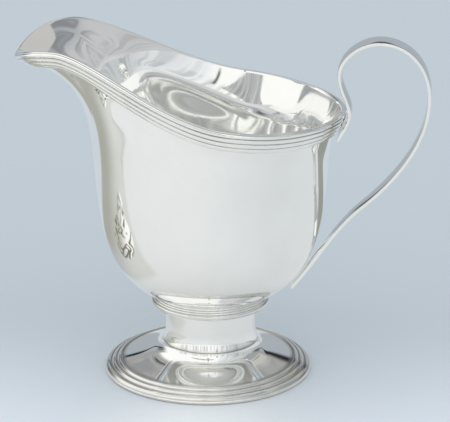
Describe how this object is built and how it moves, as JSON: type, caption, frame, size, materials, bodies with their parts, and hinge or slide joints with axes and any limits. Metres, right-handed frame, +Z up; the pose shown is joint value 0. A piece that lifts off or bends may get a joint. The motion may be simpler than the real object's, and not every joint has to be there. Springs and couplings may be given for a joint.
{
  "type": "cream jug",
  "caption": "Helmet-shaped silver cream jug with a broad drawn spout, reeded rim, looped strap handle and a spread pedestal foot.",
  "frame": {"origin": "on the surface that the jug stands on, below the middle of its overall length and width", "axes": "+Z up, +X from the spout towards the handle, -Y towards the side seen in the picture"},
  "size_m": [0.119, 0.0676, 0.1008],
  "materials": {
    "bowl_silver": "polished",
    "wire_silver": "polished",
    "handle_silver": "polished",
    "foot_silver": "polished"
  },
  "bodies": {
    "root": {"bowl": "bowl_silver", "rim_wire": "wire_silver", "handle": "handle_silver", "collar": "wire_silver", "stem": "foot_silver", "foot": "foot_silver", "foot_wire": "wire_silver"}
  },
  "joints": []
}
